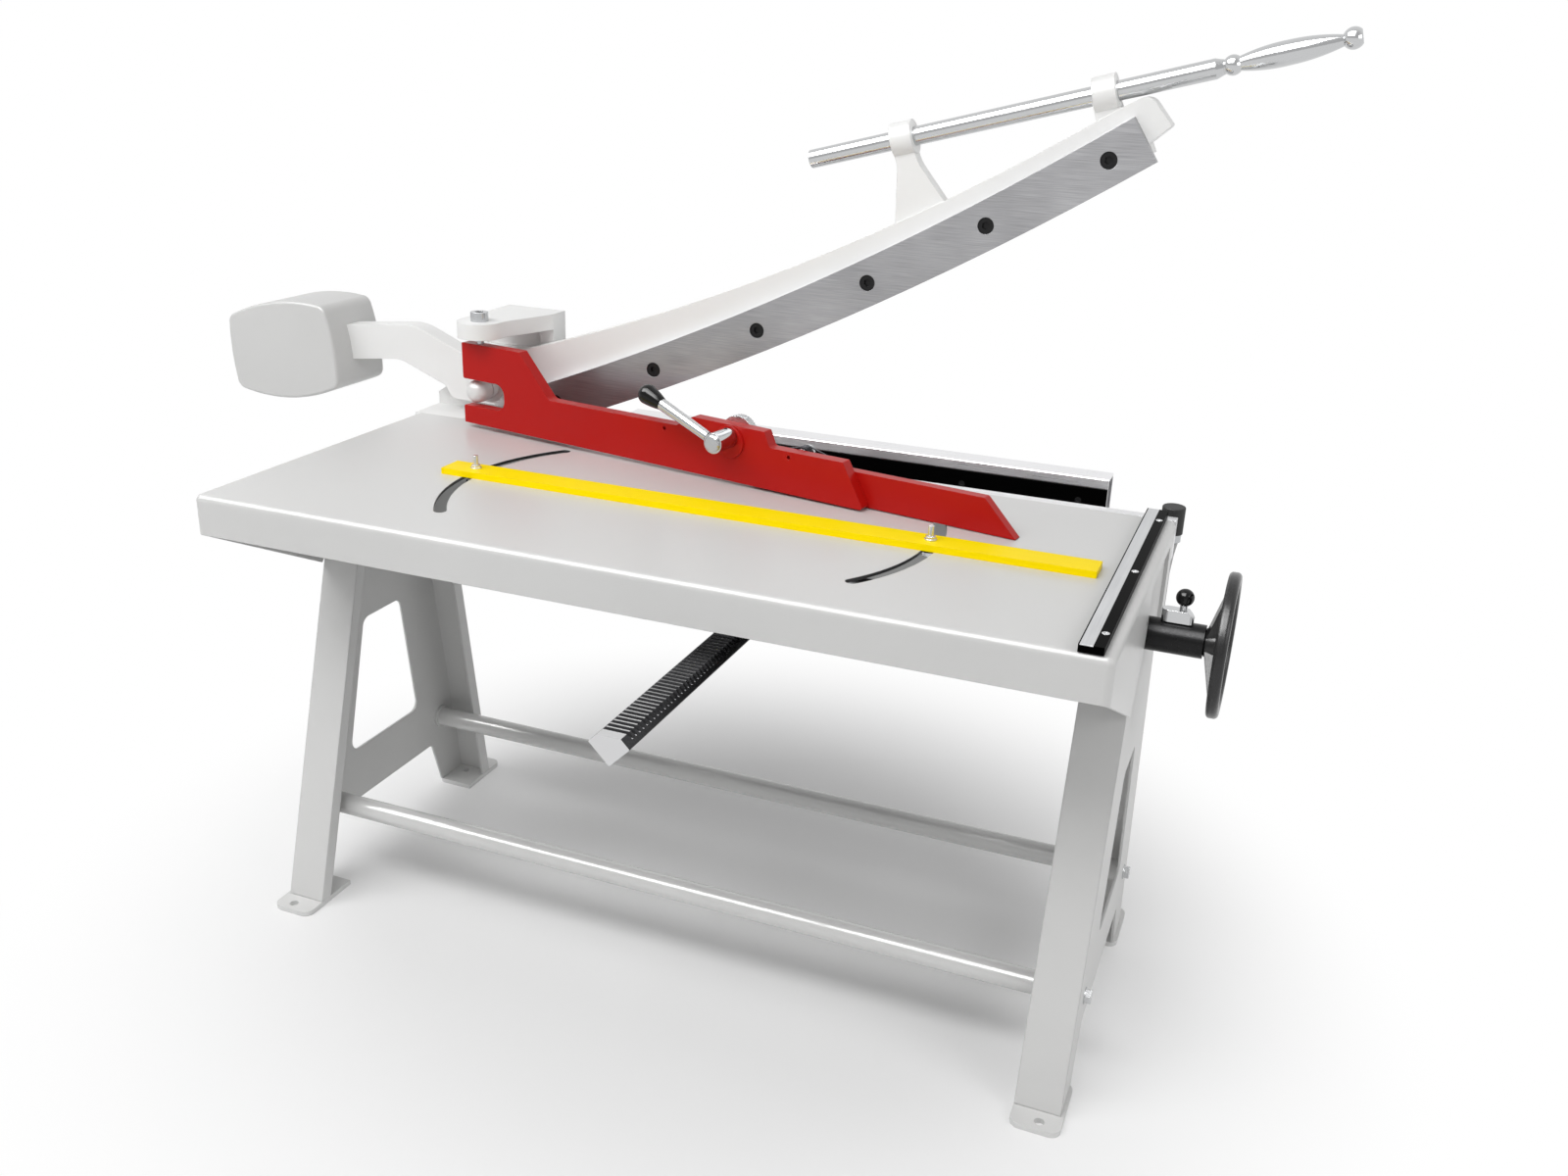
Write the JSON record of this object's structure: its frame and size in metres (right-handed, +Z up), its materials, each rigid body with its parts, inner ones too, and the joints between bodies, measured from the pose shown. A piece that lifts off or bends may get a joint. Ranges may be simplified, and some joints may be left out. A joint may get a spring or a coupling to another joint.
{
  "type": "guillotine shear",
  "caption": "Hand-lever guillotine shear for sheet metal on sheet legs, with counterweighted blade arm, swinging hold-down, angle stop, and back gauge driven by rack and handwheel.",
  "frame": {"origin": "centre of the four outer floor anchor holes, at floor level", "axes": "+X along the table's length to the handwheel end, +Y from the front edge to the rear, +Z up"},
  "size_m": [1.8283, 0.881, 1.3995],
  "materials": {
    "white_paint": "semi-gloss enamel",
    "red_paint": "semi-gloss enamel",
    "yellow_paint": "semi-gloss enamel",
    "tool_steel": "ground",
    "black_steel": "black oxide",
    "plain_steel": "machined",
    "chrome": "polished",
    "aluminium": "satin",
    "cast_iron": "as cast",
    "white_cast": "painted white",
    "bronze": "machined",
    "rubber": "matt",
    "black_plastic": "gloss"
  },
  "bodies": {
    "base": {"table_body": "white_paint", "lower_blade": "tool_steel", "lower_blade_screws": "black_steel", "leg_left": "white_paint", "leg_right": "white_paint", "leg_screws": "plain_steel", "foot_plates": "white_paint", "stretcher_tubes": "white_paint", "stretcher_bolts": "plain_steel", "pivot_bracket": "white_cast", "bracket_bolts": "black_steel", "pivot_pin": "plain_steel", "pivot_nut": "plain_steel", "side_rail": "aluminium", "rail_scale": "black_plastic", "rail_screws": "plain_steel", "buffer_bracket": "cast_iron", "buffer_seat": "plain_steel", "rubber_buffer": "rubber", "rack_housing": "cast_iron", "rack_rear_guide": "cast_iron", "carcase_screws": "black_steel", "gauge_sleeve": "plain_steel", "shaft_bushes": "bronze"},
    "arm": {"arm_casting": "white_cast", "pivot_bush": "bronze", "pivot_collar": "plain_steel", "upper_blade": "tool_steel", "blade_screws": "black_steel", "handle_bar": "chrome", "handle_grip": "chrome", "lug_set_screws": "black_steel", "counterweight": "white_cast", "counterweight_bolts": "black_steel"},
    "hold_down": {"hold_down_beam": "red_paint", "swing_bolt": "plain_steel", "hold_down_extension": "red_paint", "extension_screws": "black_steel", "torsion_spring": "plain_steel", "spring_bolt": "plain_steel"},
    "clamp": {"clamp_shaft": "plain_steel", "clamp_hub": "chrome", "clamp_grub_screw": "black_steel", "clamp_lever": "chrome", "clamp_lever_cap": "black_plastic", "clamp_disc": "chrome"},
    "stop": {"stop_bar": "yellow_paint", "stop_studs": "plain_steel", "stop_nuts": "plain_steel"},
    "gauge": {"rack_bar": "plain_steel", "gauge_carrier": "cast_iron", "gauge_screws": "black_steel", "gauge_beam": "aluminium", "gauge_face": "black_steel", "gauge_face_screws": "plain_steel"},
    "wheel": {"pinion": "plain_steel", "gauge_shaft": "plain_steel", "handwheel": "black_plastic"},
    "lock": {"lock_lever": "plain_steel", "lock_ball": "black_plastic"}
  },
  "joints": [
    {"name": "arm_pivot", "type": "hinge", "parent": "base", "child": "arm", "pos_m": [-0.505, 0.2372, 0.7915], "axis": [0, 1, 0], "range_deg": [0, 25.4]},
    {"name": "hold_down_swing", "type": "hinge", "parent": "base", "child": "hold_down", "pos_m": [-0.48858, 0.14681, 0.9], "axis": [0, 0, 1], "range_deg": [0, 9.8]},
    {"name": "clamp_lever_turn", "type": "hinge", "parent": "hold_down", "child": "clamp", "pos_m": [-0.00216, 0.01373, 0.804], "axis": [0.1709, 0.9853, 0], "range_deg": [0, 66]},
    {"name": "angle_stop_turn", "type": "hinge", "parent": "base", "child": "stop", "pos_m": [0.002, -0.0825, 0.735], "axis": [0, 0, 1], "range_deg": [-22, 5]},
    {"name": "backgauge_slide", "type": "slide", "parent": "base", "child": "gauge", "axis": [0, 1, 0], "range_m": [-0.02, 0.4]},
    {"name": "handwheel_turn", "type": "hinge", "parent": "base", "child": "wheel", "pos_m": [0.122, -0.006, 0.6306], "axis": [1, 0, 0], "range_deg": [-56, 1093]},
    {"name": "gauge_lock_turn", "type": "hinge", "parent": "base", "child": "lock", "pos_m": [0.672, -0.006, 0.6606], "axis": [0, 0, 1], "range_deg": [-45, 45]}
  ],
  "couplings": [
    {"joint": "handwheel_turn", "follows": "backgauge_slide", "rad_per_m": 47.619}
  ]
}
